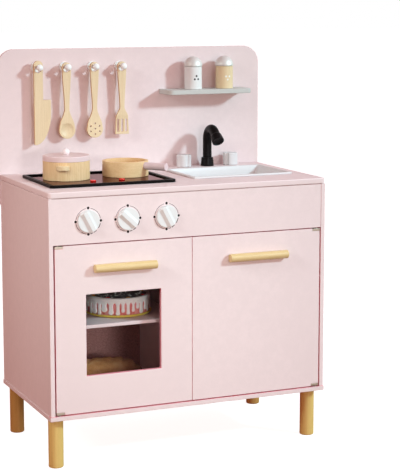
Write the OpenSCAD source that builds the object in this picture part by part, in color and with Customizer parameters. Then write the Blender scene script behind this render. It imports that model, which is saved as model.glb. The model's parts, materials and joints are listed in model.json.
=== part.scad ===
// Toy kitchen: a painted board cabinet on round wooden legs, with a hob, a sink,
// two hinged doors, turning knobs, a swivel faucet, a wall shelf and play utensils.
// +X is to the right, +Y to the back and +Z up. The origin is on the floor,
// under the middle of the whole toy.

/* [Cabinet] */
// Width over the two side panels
cabinet_w = 600; // [560:5:680]
// Depth from the front edges of the sides to the front face of the backboard
cabinet_d = 325; // [315:5:380]
// Height of the side panels
side_h = 430; // [420:5:520]
// Height of the legs
leg_h = 102; // [80:1:160]
// Diameter of the legs
leg_d = 30; // [26:1:36]
// Thickness of the painted boards
board_t = 9; // [9:0.5:12]
// Thickness of the worktop
worktop_t = 12; // [10:1:16]
// Height of the backboard above the worktop
backboard_rise = 262; // [255:1:320]
// Corner radius of the backboard
backboard_r = 37; // [10:1:60]

/* [Doors] */
// Gap beside, above and below a door
door_gap = 2.4; // [2.2:0.1:3]
// Height of the control panel above the doors
control_h = 91; // [84:1:110]
// Width of the oven window
window_w = 158; // [120:2:180]
// Height of the oven window
window_h = 163; // [120:1:170]
// Length of a door handle
handle_len = 130; // [100:2:160]
// Diameter of a door handle
handle_d = 17; // [14:0.5:20]

/* [Hob, sink and taps] */
// Width of the hob
hob_w = 266; // [262:2:274]
// Depth of the hob
hob_d = 198; // [190:2:210]
// Width of the sink rim
sink_w = 226; // [200:2:240]
// Depth of the sink rim
sink_d = 159; // [140:1:165]
// Depth of the sink bowl under the worktop
sink_drop = 38; // [25:1:60]
// Diameter of the faucet tube
faucet_d = 19.4; // [18:0.2:21]
// Radius of the faucet's arch
faucet_r = 23.4; // [20:0.2:30]

/* [Knobs] */
// Diameter of a control knob
knob_d = 46; // [36:0.2:50]
// Distance between control knobs
knob_pitch = 82; // [60:1:95]
// Diameter of a tap knob
tap_d = 32; // [26:1:36]
// Height of a tap knob
tap_h = 27; // [22:1:32]

/* [Accessories] */
// Outer diameter of the pot and the pan
pan_d = 96; // [80:1:100]
// Height of the pot without its lid
pot_h = 38.5; // [34:0.5:60]
// Height of the pan
pan_h = 32; // [26:1:36]
// Distance between the hanging pegs
peg_pitch = 62.5; // [60:0.5:66]
// Thickness of the wooden utensils
utensil_t = 6; // [4:0.5:7]
// Diameter of a shaker
shaker_d = 38; // [30:1:42]
// Height of a shaker's body
shaker_h = 49; // [40:1:60]

/* [Hidden] */
$fn = 48;
eps = 0.01;
// running clearance between a turning piece and its pin, on the radius
run = 0.05;
// air gap between a turning piece and the face beside it
air = 0.4;

// colours
pink = "#ecdada";
pale_wood = "#e6c98f";
off_white = "#f2f1ee";
soft_black = "#1c1b1b";
steel = "#b9b4aa";

// control knob, from its back to the front of its grip
knob_base_t = 5;
knob_grip_h = 5;
knob_cap_t = 2;
knob_out = air + knob_base_t + knob_grip_h;

// how far the handles, or the knobs, stand out from the front
handle_sink = 0.5;
front_out = max(knob_out, handle_d - handle_sink);

// main planes
total_d = front_out + cabinet_d + board_t;
front_y = -total_d / 2 + front_out;
board_y = front_y + cabinet_d;
bottom_z = leg_h;
floor_z = leg_h + board_t;
side_top_z = floor_z + side_h;
top_z = side_top_z + worktop_t;
half_w = cabinet_w / 2;
inner_x = half_w - board_t;
back_panel_t = 4;
back_panel_y = board_y - 45;

// small overhangs
base_lip = 1.7;
worktop_lip = 1.3;
worktop_r = 8;
backboard_side = 2;
backboard_drop = 64.5;
leg_inset_x = 20;
leg_inset_front = 34;
leg_inset_rear = 26;

// doors
door_top_z = side_top_z - control_h - door_gap;
door_bottom_z = floor_z + door_gap;
door_h = door_top_z - door_bottom_z;
door_x0 = 1;
door_x1 = inner_x - door_gap;
door_mid_x = (door_x0 + door_x1) / 2;
window_x = -146.5;
window_z = bottom_z + 165.8;
window_t = 2;
handle_z = door_top_z - 47;
screw_r = 1.5;
handle_screw_dx = 42;

// pivot hinges
hinge_plate_w = 17;
hinge_plate_h = 5;
hinge_x = door_x1 - 6.5;
hinge_pin_r = 2;
hinge_pin_l = door_gap + 6;
bush_r = 3.5;
bush_l = 7.5;

// oven
shelf_t = 7;
shelf_top_z = bottom_z + 179;
shelf_front_y = front_y + 30;

// hob
hob_x = -142;
hob_y = front_y + 156;
hob_h = 6;
hob_rim = 8;
hob_floor_t = 1.8;
glass_t = 1.2;
hob_r = 9;
glass_z = top_z + hob_floor_t + glass_t;

// sink
sink_x = 155;
sink_y = front_y + 165.5;
sink_lip_h = 4;
sink_wall = 2;
sink_lip_w = 7;
sink_taper = 14;

// faucet and taps
faucet_x = 164.5;
tap_dx = 56;
tap_y = board_y - 28.5;
collar_h = 19;
collar_r = 14.8;
column_h = 60;
arch_angle = 133;
spout_neck_l = 10;
spout_head_l = 17;
spindle_r = 3;
tap_spindle_l = 16;
knob_spindle_l = knob_base_t + knob_grip_h - knob_cap_t - 1;
spindle_flange_r = 6;
spindle_flange_t = 2;

// control knobs
knob_x = -219.4;
knob_z = side_top_z - 47;
knob_angles = [28, 47, 28];

// wall shelf and pegs
wall_shelf_w = 198;
wall_shelf_d = 60;
wall_shelf_t = 10;
wall_shelf_r = 12;
wall_shelf_x = 160.5;
wall_shelf_top = top_z + 170.5;
peg_x = -219.5;
peg_z = top_z + 223.5;
peg_disc_r = 10;
peg_disc_t = 3;
peg_neck_r = 4;
peg_reach = 30;
peg_ball_r = 7.2;
hang_hole_r = 7.6;
hang_drop = hang_hole_r - peg_neck_r - 0.3;
utensil_y = board_y - 21;

// pot and pan
pot_pos = [-204, front_y + 175];
pan_pos = [-73, front_y + 181];
pan_r = pan_d / 2;
pan_wall = 6;
pan_floor = 5;
pot_lid_t = 10.5;
lug_angle = -117;
pan_handle_angle = -52;
pan_handle_r = 7.8;
pan_handle_l = 50;

// shakers
shaker_x = [130, 204.6];
shaker_y = board_y - 30;

// food
cake_pos = [-111, front_y + 130];
cake_r = 67;
cake_h = 36;
plate_r = 69;
plate_t = 4;
loaf_pos = [-142, front_y + 150];
loaf_r = 48;
loaf_half = 42;
loaf_h = 72;

// ---------------------------------------------------------------- helpers

// A box given by its lowest and highest corners.
module block(low, high) {
    translate(low) cube(high - low);
}

// A flat plate with rounded corners, centred in X and Y, its underside at z = 0.
module rounded_plate(w, d, h, r) {
    linear_extrude(h) {
        square([w - 2 * r, d], center = true);
        square([w, d - 2 * r], center = true);
        for (sx = [-1, 1], sy = [-1, 1])
            translate([sx * (w / 2 - r), sy * (d / 2 - r)]) circle(r);
    }
}

// A rounded slab tapering downwards from z = 0 to z = -h.
module tapered_block(w, d, h, taper, r) {
    hull() {
        translate([0, 0, -eps]) rounded_plate(w, d, eps, r);
        translate([0, 0, -h]) rounded_plate(w - 2 * taper, d - 2 * taper, eps, r);
    }
}

// A countersunk screw, its head flush with z = 0 and its shank going down.
module countersunk_screw(length, r = 2, head_r = 4) {
    translate([0, 0, -head_r + r]) cylinder(h = head_r - r, r1 = r, r2 = head_r);
    translate([0, 0, -length]) cylinder(h = length, r = r);
}

// The hole that such a screw sits in.
module countersunk_hole(length, r = 2, head_r = 4) {
    play = 0.1;
    translate([0, 0, -head_r + r])
        cylinder(h = head_r - r + play, r1 = r + play, r2 = head_r + 2 * play);
    translate([0, 0, -length - play]) cylinder(h = length, r = r + play);
}

// Places its children at the four leg positions.
module at_legs() {
    for (sx = [-1, 1], rear = [0, 1]) translate(leg_spot(sx, rear)) children();
}

function leg_spot(side, rear) = [
    side * (half_w - leg_inset_x),
    rear == 1 ? board_y - leg_inset_rear : front_y + leg_inset_front,
    0
];

// The screws that hold the carcass to the bottom panel, driven from below.
carcass_screw_x = [-half_w + board_t / 2, 0, half_w - board_t / 2];
carcass_screw_y = [front_y + 75, board_y - 80];
module at_carcass_screws() {
    for (x = carcass_screw_x, y = carcass_screw_y)
        translate([x, y, bottom_z]) mirror([0, 0, 1]) children();
}

// The screws that hold the backboard and the wall shelf, driven from behind.
function backboard_screw_spots() = concat(
    [for (x = [-240, -80, 80, 240]) [x, top_z - worktop_t / 2]],
    [for (sx = [-1, 1]) [wall_shelf_x + sx * 70, wall_shelf_top - wall_shelf_t / 2]]
);
module at_backboard_screws() {
    for (spot = backboard_screw_spots())
        translate([spot[0], board_y + board_t, spot[1]]) rotate([-90, 0, 0]) children();
}

module at_pegs() {
    for (i = [0 : 3]) translate([peg_x + i * peg_pitch, board_y, peg_z]) children();
}

// ---------------------------------------------------------------- cabinet

module side_panel(side) {
    color(pink)
    difference() {
        block([side > 0 ? inner_x : -half_w, front_y, floor_z],
              [side > 0 ? half_w : -inner_x, board_y, side_top_z]);
        at_carcass_screws() countersunk_hole(34);
    }
}

module bottom_panel() {
    color(pink)
    difference() {
        block([-half_w - base_lip, front_y - base_lip, bottom_z],
              [half_w + base_lip, board_y, floor_z]);
        at_carcass_screws() countersunk_hole(34);
        at_legs() translate([0, 0, bottom_z - 1]) cylinder(h = board_t + 2, r = 4.1);
        for (sx = [-1, 1])
            translate([sx * hinge_x, front_y + board_t / 2, floor_z - bush_l])
                cylinder(h = bush_l + 1, r = bush_r + run);
    }
}

module worktop() {
    color(pink)
    difference() {
        union() {
            translate([0, (front_y - worktop_lip + board_y) / 2, side_top_z])
                rounded_plate(cabinet_w, cabinet_d + worktop_lip, worktop_t, worktop_r);
            block([-half_w, board_y - 2 * worktop_r, side_top_z], [half_w, board_y, top_z]);
        }
        translate([sink_x, sink_y, side_top_z - 1])
            rounded_plate(sink_w - 2 * sink_lip_w + 2 * sink_wall + 2,
                          sink_d - 2 * sink_lip_w + 2 * sink_wall + 2, worktop_t + 2, 6);
        for (sx = [-1, 1])
            translate([faucet_x + sx * tap_dx, tap_y, side_top_z - 1])
                cylinder(h = worktop_t + 2, r = spindle_r + 0.1);
        translate([faucet_x, tap_y, side_top_z - 1]) cylinder(h = worktop_t + 2, r = 6.1);
        at_backboard_screws() countersunk_hole(34);
    }
}

module back_panel() {
    color("#e3cfcf")
    block([-inner_x, back_panel_y, floor_z], [inner_x, back_panel_y + back_panel_t, side_top_z]);
}

module centre_divider() {
    color(pink)
    difference() {
        block([-board_t / 2, front_y + board_t + 3, floor_z],
              [board_t / 2, back_panel_y, side_top_z]);
        at_carcass_screws() countersunk_hole(34);
    }
}

module oven_shelf() {
    color(pink)
    block([-inner_x, shelf_front_y, shelf_top_z - shelf_t],
          [-board_t / 2, back_panel_y, shelf_top_z]);
}

module control_panel() {
    color(pink)
    difference() {
        block([-inner_x, front_y, side_top_z - control_h],
              [inner_x, front_y + board_t, side_top_z]);
        for (i = [0 : 2])
            translate([knob_x + i * knob_pitch, front_y - 1, knob_z]) rotate([-90, 0, 0])
                cylinder(h = board_t + 2, r = spindle_r + 0.1);
        for (sx = [-1, 1])
            translate([sx * hinge_x, front_y + board_t / 2, side_top_z - control_h - 1])
                cylinder(h = bush_l + 1, r = bush_r + run);
    }
}

module backboard() {
    w = cabinet_w + 2 * backboard_side;
    low = top_z - backboard_drop;
    high = top_z + backboard_rise;
    color(pink)
    difference() {
        translate([0, board_y + board_t, 0]) rotate([90, 0, 0]) linear_extrude(board_t) {
            translate([-w / 2, low]) square([w, high - low - backboard_r]);
            translate([-w / 2 + backboard_r, low]) square([w - 2 * backboard_r, high - low]);
            for (sx = [-1, 1])
                translate([sx * (w / 2 - backboard_r), high - backboard_r])
                    circle(backboard_r);
        }
        at_backboard_screws() countersunk_hole(34);
        at_pegs() rotate([-90, 0, 0]) translate([0, 0, -1])
            cylinder(h = board_t + 2, r = 3.1);
    }
}

module leg(side, rear) {
    edge = 2.5;
    r = leg_d / 2;
    color(pale_wood)
    translate(leg_spot(side, rear))
    difference() {
        rotate_extrude() {
            translate([0, edge]) square([r, leg_h - edge]);
            square([r - edge, leg_h]);
            translate([r - edge, edge]) circle(edge);
        }
        translate([0, 0, leg_h - 30]) cylinder(h = 31, r = 4.1);
    }
}

module leg_bolts() {
    color(steel)
    at_legs() {
        translate([0, 0, leg_h - 29]) cylinder(h = 29 + board_t + 6, r = 4);
        translate([0, 0, floor_z]) cylinder(h = 1, r = 9);
        translate([0, 0, floor_z + 1]) cylinder(h = 4, r = 6.8, $fn = 6);
    }
}

module carcass_screws() {
    color(steel)
    at_carcass_screws() countersunk_screw(34);
}

module backboard_screws() {
    color(steel)
    at_backboard_screws() countersunk_screw(34);
}

module wall_shelf() {
    color("#c3c9c8")
    difference() {
        translate([wall_shelf_x, board_y - wall_shelf_d, wall_shelf_top - wall_shelf_t])
        linear_extrude(wall_shelf_t) {
            translate([-wall_shelf_w / 2, wall_shelf_r])
                square([wall_shelf_w, wall_shelf_d - wall_shelf_r]);
            translate([-wall_shelf_w / 2 + wall_shelf_r, 0])
                square([wall_shelf_w - 2 * wall_shelf_r, wall_shelf_d]);
            for (sx = [-1, 1])
                translate([sx * (wall_shelf_w / 2 - wall_shelf_r), wall_shelf_r])
                    circle(wall_shelf_r);
        }
        at_backboard_screws() countersunk_hole(34);
    }
}

module hook_pegs() {
    color(off_white)
    at_pegs() rotate([90, 0, 0]) {
        translate([0, 0, -board_t]) cylinder(h = board_t + 1, r = 3);
        cylinder(h = peg_disc_t, r = peg_disc_r);
        cylinder(h = peg_reach, r = peg_neck_r);
        translate([0, 0, peg_reach]) sphere(peg_ball_r);
    }
}

// ---------------------------------------------------------------- hob and sink

module hob_tray() {
    color(soft_black)
    translate([hob_x, hob_y, top_z])
    difference() {
        rounded_plate(hob_w, hob_d, hob_h, hob_r);
        translate([0, 0, hob_floor_t])
            rounded_plate(hob_w - 2 * hob_rim, hob_d - 2 * hob_rim, hob_h, 4);
    }
}

module hob_glass() {
    play = 0.2;
    color("#2a2324")
    translate([hob_x, hob_y, top_z + hob_floor_t])
    rounded_plate(hob_w - 2 * hob_rim - 2 * play, hob_d - 2 * hob_rim - 2 * play, glass_t, 4);
}

module hob_indicator_studs() {
    color("#e01515")
    for (x = [-168.8, -107]) translate([x, front_y + 112, glass_z]) cylinder(h = 3, r = 6.2);
}

module sink_basin() {
    w = sink_w - 2 * sink_lip_w;
    d = sink_d - 2 * sink_lip_w;
    drop = sink_drop + sink_lip_h;
    color(off_white)
    translate([sink_x, sink_y, top_z])
    difference() {
        union() {
            rounded_plate(sink_w, sink_d, sink_lip_h, 3);
            translate([0, 0, sink_lip_h - 1])
                tapered_block(w + 2 * sink_wall, d + 2 * sink_wall, drop + 1, sink_taper, 5);
        }
        translate([0, 0, sink_lip_h + eps])
            tapered_block(w, d, drop - sink_wall, sink_taper, 4);
    }
}

module faucet_base() {
    bore_r = faucet_d / 2 + run;
    color(soft_black)
    translate([faucet_x, tap_y, top_z]) {
        difference() {
            cylinder(h = collar_h, r1 = collar_r, r2 = collar_r - 2);
            translate([0, 0, 3]) cylinder(h = collar_h, r = bore_r);
        }
        translate([0, 0, -worktop_t - 9]) cylinder(h = worktop_t + 10, r = 6);
    }
}

module faucet_nut() {
    color(soft_black)
    translate([faucet_x, tap_y, side_top_z - 7])
    difference() {
        cylinder(h = 7, r = 12, $fn = 6);
        translate([0, 0, -1]) cylinder(h = 9, r = 6.1);
    }
}

module faucet_spout() {
    r = faucet_d / 2;
    z_low = top_z + 3 + air;
    z_arch = top_z + column_h;
    color(soft_black)
    translate([faucet_x, tap_y, 0]) {
        translate([0, 0, z_low]) cylinder(h = z_arch - z_low, r = r);
        translate([0, -faucet_r, z_arch]) {
            rotate([90, 0, 90]) rotate_extrude(angle = arch_angle)
                translate([faucet_r, 0]) circle(r);
            rotate([arch_angle, 0, 0]) translate([0, faucet_r, 0]) difference() {
                union() {
                    cylinder(h = spout_neck_l, r1 = r, r2 = r + 0.8);
                    translate([0, 0, spout_neck_l])
                        cylinder(h = spout_head_l, r1 = r + 2.4, r2 = r + 4.4);
                }
                translate([0, 0, spout_neck_l + spout_head_l - 3])
                    cylinder(h = 4, r = r + 2);
            }
        }
    }
}

// A tap knob is a round grip with two finger grooves.
module tap_knob(side, turn) {
    color(off_white)
    translate([faucet_x + side * tap_dx, tap_y, top_z + air]) rotate([0, 0, turn])
    difference() {
        rotate_extrude() {
            square([tap_d / 2 - 1.5, tap_h]);
            square([tap_d / 2, tap_h - 1.5]);
            translate([tap_d / 2 - 1.5, tap_h - 1.5]) circle(1.5);
        }
        for (s = [-1, 1])
            translate([s * (tap_d / 2 + 1), 0, -1]) cylinder(h = tap_h + 2, r = 5);
        translate([0, 0, -1]) cylinder(h = tap_spindle_l + 2, r = spindle_r + run);
    }
}

// A spindle with a flange behind the board it goes through.
module spindle(through, reach) {
    translate([0, 0, -through - spindle_flange_t])
        cylinder(h = spindle_flange_t, r = spindle_flange_r);
    translate([0, 0, -through - 1]) cylinder(h = through + 1 + reach, r = spindle_r);
}

module knob_spindles() {
    color(steel) {
        for (sx = [-1, 1])
            translate([faucet_x + sx * tap_dx, tap_y, top_z]) spindle(worktop_t, tap_spindle_l);
        for (i = [0 : 2])
            translate([knob_x + i * knob_pitch, front_y, knob_z]) rotate([90, 0, 0])
                spindle(board_t, knob_spindle_l);
    }
}

// A control knob is a round cap with a raised grip across it, with sloping flanks.
module control_knob(i) {
    r = knob_d / 2;
    edge = 1.2;
    grip_top = 4.2;
    grip_foot = 11.5;
    color(off_white)
    translate([knob_x + i * knob_pitch, front_y - air, knob_z])
    rotate([90, 0, 0]) rotate([0, 0, knob_angles[i]])
    difference() {
        union() {
            rotate_extrude() {
                square([r - edge, knob_base_t]);
                square([r, knob_base_t - edge]);
                translate([r - edge, knob_base_t - edge]) circle(edge);
            }
            intersection() {
                cylinder(h = knob_base_t + knob_grip_h, r = r - edge);
                translate([0, r, 0]) rotate([90, 0, 0]) linear_extrude(2 * r) polygon([
                    [-grip_foot, knob_base_t - 1], [grip_foot, knob_base_t - 1],
                    [grip_top, knob_base_t + knob_grip_h], [-grip_top, knob_base_t + knob_grip_h]
                ]);
            }
        }
        translate([0, 0, -1]) cylinder(h = knob_spindle_l + 1.6, r = spindle_r + run);
    }
}

// ---------------------------------------------------------------- doors

module door_panel(side) {
    color(pink)
    difference() {
        block([side > 0 ? door_x0 : -door_x1, front_y, door_bottom_z],
              [side > 0 ? door_x1 : -door_x0, front_y + board_t, door_top_z]);
        for (z = [door_bottom_z, door_top_z - hinge_plate_h])
            block([side * (door_x1 - hinge_plate_w / 2) - hinge_plate_w / 2 - (side < 0 ? 1 : 0),
                   front_y - 1, z - (z == door_bottom_z ? 1 : 0)],
                  [side * (door_x1 - hinge_plate_w / 2) + hinge_plate_w / 2 + (side > 0 ? 1 : 0),
                   front_y + board_t + 1, z + hinge_plate_h + (z == door_bottom_z ? 0 : 1)]);
        if (side < 0)
            translate([window_x, front_y + board_t + 1, window_z]) rotate([90, 0, 0])
                rounded_plate(window_w, window_h, board_t + 2, 2);
        for (sx = [-1, 1])
            translate([side * door_mid_x + sx * handle_screw_dx, front_y - 1, handle_z])
                rotate([-90, 0, 0]) cylinder(h = board_t + 2, r = screw_r + 0.1);
    }
}

module oven_window() {
    lap = 10;
    color("#c9d6d8", 0.4)
    translate([window_x, front_y + board_t + window_t, window_z]) rotate([90, 0, 0])
    difference() {
        rounded_plate(window_w + 2 * lap, window_h + 2 * lap, window_t, 5);
        for (sx = [-1, 1], sz = [-1, 1])
            translate([sx * (window_w + lap) / 2, sz * (window_h + lap) / 2, -1])
                cylinder(h = window_t + 2, r = screw_r + 0.1);
    }
}

module door_handle(side) {
    r = handle_d / 2;
    edge = 1;
    color(pale_wood)
    difference() {
        translate([side * door_mid_x - handle_len / 2, front_y - r + handle_sink, handle_z])
        rotate([0, 90, 0]) rotate_extrude() {
            square([r - edge, handle_len]);
            translate([0, edge]) square([r, handle_len - 2 * edge]);
            for (h = [edge, handle_len - edge]) translate([r - edge, h]) circle(edge);
        }
        block([side * door_mid_x - handle_len, front_y, handle_z - handle_d],
              [side * door_mid_x + handle_len, front_y + handle_d, handle_z + handle_d]);
        for (sx = [-1, 1])
            translate([side * door_mid_x + sx * handle_screw_dx, front_y - 11.5, handle_z])
                rotate([-90, 0, 0]) cylinder(h = 20, r = screw_r + 0.1);
    }
}

// A pan-head screw along -Y, its head resting on the plane y = 0.
module pan_screw(length) {
    rotate([90, 0, 0]) {
        translate([0, 0, -2]) cylinder(h = 2, r = 3);
        translate([0, 0, -1]) cylinder(h = length + 1, r = screw_r);
    }
}

module door_screws(side) {
    color(steel)
    for (sx = [-1, 1]) {
        translate([side * door_mid_x + sx * handle_screw_dx, front_y + board_t, handle_z])
            pan_screw(20);
        if (side < 0) for (sz = [-1, 1])
            translate([window_x + sx * (window_w / 2 + 5), front_y + board_t + window_t,
                       window_z + sz * (window_h / 2 + 5)])
                pan_screw(window_t);
    }
}

// The two metal corner plates of a door, each with the pin it turns on.
module hinge_plates(side) {
    x = side * (door_x1 - hinge_plate_w / 2);
    color(steel)
    for (top = [0, 1]) {
        z = top == 1 ? door_top_z - hinge_plate_h : door_bottom_z;
        block([x - hinge_plate_w / 2, front_y, z],
              [x + hinge_plate_w / 2, front_y + board_t, z + hinge_plate_h]);
        translate([side * hinge_x, front_y + board_t / 2,
                   top == 1 ? door_top_z - 1 : door_bottom_z - hinge_pin_l])
            cylinder(h = hinge_pin_l + 1, r = hinge_pin_r);
    }
}

module hinge_bushes() {
    color(off_white)
    for (sx = [-1, 1], z = [floor_z - bush_l, side_top_z - control_h])
        translate([sx * hinge_x, front_y + board_t / 2, z])
        difference() {
            cylinder(h = bush_l, r = bush_r);
            translate([0, 0, -1]) cylinder(h = bush_l + 2, r = hinge_pin_r + run);
        }
}

// Magnetic catches on the divider, and the thin plate on each door that meets them.
catch_w = 8;
catch_h = 16;
catch_z = door_top_z - 24;
strike_t = 0.8;
module magnet_catches() {
    color("#d8d6d2")
    for (sx = [-1, 1])
        block([sx > 0 ? board_t / 2 : -board_t / 2 - catch_w, front_y + board_t + 1.2, catch_z],
              [sx > 0 ? board_t / 2 + catch_w : -board_t / 2, front_y + board_t + 21,
               catch_z + catch_h]);
}

module strike_plate(side) {
    color(steel)
    block([side > 0 ? board_t / 2 : -board_t / 2 - catch_w - 1, front_y + board_t, catch_z - 2],
          [side > 0 ? board_t / 2 + catch_w + 1 : -board_t / 2, front_y + board_t + strike_t,
           catch_z + catch_h + 2]);
}

// ---------------------------------------------------------------- pot and pan

// A turned wooden vessel with a flat floor.
module vessel(h) {
    edge = 1.2;
    difference() {
        rotate_extrude() {
            square([pan_r - edge, h]);
            translate([0, edge]) square([pan_r, h - 2 * edge]);
            for (z = [edge, h - edge]) translate([pan_r - edge, z]) circle(edge);
        }
        translate([0, 0, pan_floor]) cylinder(h = h, r = pan_r - pan_wall);
    }
}

module pot_body() {
    color(pale_wood)
    translate([pot_pos[0], pot_pos[1], glass_z]) vessel(pot_h);
}

module pot_lugs() {
    lug_w = 27;
    lug_h = 10;
    lug_out = 8;
    color(pale_wood)
    translate([pot_pos[0], pot_pos[1], glass_z + 22])
    for (turn = [0, 180]) rotate([0, 0, lug_angle + turn])
    difference() {
        intersection() {
            translate([pan_r - 6, -lug_w / 2, 0]) cube([lug_out + 6, lug_w, lug_h]);
            translate([pan_r + lug_out - 17, 0, 0]) cylinder(h = lug_h, r = 17);
        }
        translate([0, 0, -1]) cylinder(h = lug_h + 2, r = pan_r + 0.02);
    }
}

module pot_lid() {
    edge = 2;
    color(pink)
    translate([pot_pos[0], pot_pos[1], glass_z + pot_h + 0.3]) {
        rotate_extrude() {
            square([pan_r - edge, pot_lid_t]);
            square([pan_r, pot_lid_t - edge]);
            translate([pan_r - edge, pot_lid_t - edge]) circle(edge);
        }
        translate([0, 0, -4]) cylinder(h = 5, r = pan_r - pan_wall - 0.6);
    }
}

module pot_lid_knob() {
    sunk = 1.5;
    color(pink)
    translate([pot_pos[0], pot_pos[1], glass_z + pot_h + 0.3 + pot_lid_t])
    difference() {
        translate([0, 0, 7.5 - sunk]) sphere(7.5);
        translate([0, 0, -10]) cylinder(h = 10, r = 10);
    }
}

module pan_body() {
    color(pale_wood)
    translate([pan_pos[0], pan_pos[1], glass_z]) vessel(pan_h);
}

module pan_handle() {
    edge = 1;
    color(pink)
    translate([pan_pos[0], pan_pos[1], glass_z + pan_h - 9.4]) rotate([0, 0, pan_handle_angle])
    difference() {
        translate([pan_r - 4, 0, 0]) rotate([0, 90, 0]) rotate_extrude() {
            square([pan_handle_r, pan_handle_l + 4 - edge]);
            square([pan_handle_r - edge, pan_handle_l + 4]);
            translate([pan_handle_r - edge, pan_handle_l + 4 - edge]) circle(edge);
        }
        translate([0, 0, -20]) cylinder(h = 40, r = pan_r + 0.02);
    }
}

// ---------------------------------------------------------------- utensils

// Eases from 0 to 1 as t goes from 0 to 1.
function ease(t) = t <= 0 ? 0 : t >= 1 ? 1 : t * t * (3 - 2 * t);

// Points of an arc, from angle a0 to angle a1.
function arc(c, r, a0, a1, n) =
    [for (i = [0 : n]) c + r * [cos(a0 + (a1 - a0) * i / n), sin(a0 + (a1 - a0) * i / n)]];

// The right edge of a handle: wide at the top, narrowing to a waist.
grip_half = 9.8;
waist_half = 4.9;
waist_z = -88;
function handle_half(z) = grip_half + (waist_half - grip_half) * ease(z / waist_z * 0.85 + 0.05);

// A hanging utensil: its outline is drawn around the peg's axis, in X and Z.
module utensil(i) {
    color(pale_wood)
    translate([peg_x + i * peg_pitch, utensil_y + utensil_t, peg_z]) rotate([90, 0, 0])
    difference() {
        linear_extrude(utensil_t) children(0);
        translate([0, -hang_drop, -1]) cylinder(h = utensil_t + 2, r = hang_hole_r);
        children(1);
    }
}

// A handle that widens into a round head, as one closed outline.
head_z = -134;
head_r = 18;
function paddle_side(s) = concat(
    [for (i = [0 : 12]) let (z = waist_z * i / 12) [s * handle_half(z), z]],
    [for (i = [1 : 10]) let (t = i / 10, z = waist_z + (head_z + 6 - waist_z) * t)
        [s * (handle_half(waist_z) + (head_r * 0.943 - handle_half(waist_z)) * ease(t)), z]]
);
function flip(list) = [for (i = [len(list) - 1 : -1 : 0]) list[i]];

module paddle_outline() {
    polygon(concat(
        arc([0, 0], grip_half, 176, 4, 16),
        paddle_side(1),
        arc([0, head_z], head_r, 16, -196, 32),
        flip(paddle_side(-1))
    ));
}

module toy_knife() {
    top = 4.5;
    heel_z = -68;
    blade_half = 27;
    curve_z = -94;
    tip_z = -163;
    utensil(0) {
        polygon(concat(
            arc([0, top], 10, 180, 0, 16),
            [[10, heel_z], [blade_half - 1, heel_z], [blade_half, heel_z - 1]],
            [for (i = [0 : 16]) let (a = 90 * i / 16)
                [-8 + (blade_half + 8) * cos(a), curve_z + (tip_z - curve_z) * sin(a)]],
            [[-9.6, tip_z + 0.4], [-10, tip_z + 1.5]]
        ));
        union() {}
    }
}

module toy_spoon() {
    bowl_r = 15.2;
    bowl_depth = 3.8;
    ball_r = (bowl_r * bowl_r + bowl_depth * bowl_depth) / (2 * bowl_depth);
    utensil(1) {
        paddle_outline();
        translate([0, head_z + 1.2, utensil_t + ball_r - bowl_depth]) sphere(ball_r, $fn = 64);
    }
}

module toy_skimmer() {
    hole_z = head_z + 1.5;
    utensil(2) {
        paddle_outline();
        union() {
            translate([0, hole_z, -1]) cylinder(h = utensil_t + 2, r = 1.8);
            for (i = [0 : 5])
                translate([11.5 * sin(60 * i), hole_z + 11.5 * cos(60 * i), -1])
                    cylinder(h = utensil_t + 2, r = 1.8);
        }
    }
}

module toy_turner() {
    shoulder_z = -110;
    foot_z = -146.7;
    slot_w = 4;
    slope_z = -105;
    slope_l = 9;
    blade_cut = 2;
    utensil(3) {
        polygon(concat(
            arc([0, 0], grip_half, 176, 4, 16),
            [for (i = [0 : 12]) let (z = waist_z * i / 12) [handle_half(z), z]],
            [for (i = [1 : 8]) let (t = i / 8, z = waist_z + (shoulder_z - waist_z) * t)
                [handle_half(waist_z) + (13.8 - handle_half(waist_z)) * ease(t), z]],
            [[15.8, foot_z], [-15.8, foot_z]],
            [for (i = [8 : -1 : 1]) let (t = i / 8, z = waist_z + (shoulder_z - waist_z) * t)
                [-handle_half(waist_z) - (13.8 - handle_half(waist_z)) * ease(t), z]],
            [for (i = [12 : -1 : 0]) let (z = waist_z * i / 12) [-handle_half(z), z]]
        ));
        union() {
            for (s = [-1, 0, 1])
                block([s * 9.2 - slot_w / 2, -141, -1], [s * 9.2 + slot_w / 2, -114, utensil_t + 1]);
            translate([-20, 0, 0]) rotate([90, 0, 90]) linear_extrude(40) polygon([
                [foot_z - 1, utensil_t + 1], [foot_z - 1, utensil_t - blade_cut],
                [slope_z - slope_l, utensil_t - blade_cut], [slope_z, utensil_t],
                [slope_z, utensil_t + 1]
            ]);
        }
    }
}

// ---------------------------------------------------------------- shakers and food

module shaker_body(i, tint) {
    r = shaker_d / 2;
    edge = 1.2;
    color(tint)
    translate([shaker_x[i], shaker_y, wall_shelf_top])
    rotate_extrude() {
        square([r - edge, shaker_h]);
        translate([0, edge]) square([r, shaker_h - 2 * edge]);
        for (z = [edge, shaker_h - edge]) translate([r - edge, z]) circle(edge);
    }
}

module shaker_cap(i) {
    dome_r = shaker_d / 2 + 1.2;
    color("#bdbab5")
    translate([shaker_x[i], shaker_y, wall_shelf_top + shaker_h])
    rotate_extrude() {
        square([dome_r, 2]);
        intersection() {
            translate([0, 2]) circle(dome_r);
            translate([0, 2]) square([dome_r, dome_r]);
        }
    }
}

module toy_cake() {
    color("#eadcd8")
    translate([cake_pos[0], cake_pos[1], shelf_top_z]) {
        cylinder(h = plate_t, r = plate_r);
        cylinder(h = plate_t + cake_h, r = cake_r);
    }
}

module toy_loaf() {
    color("#b97b3e")
    translate([loaf_pos[0], loaf_pos[1], floor_z])
    intersection() {
        hull() for (sx = [-1, 1])
            translate([sx * loaf_half, 0, loaf_h - loaf_r]) sphere(loaf_r, $fn = 32);
        translate([-150, -100, 0]) cube([300, 200, loaf_h]);
    }
}

// ---------------------------------------------------------------- nodes

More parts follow.
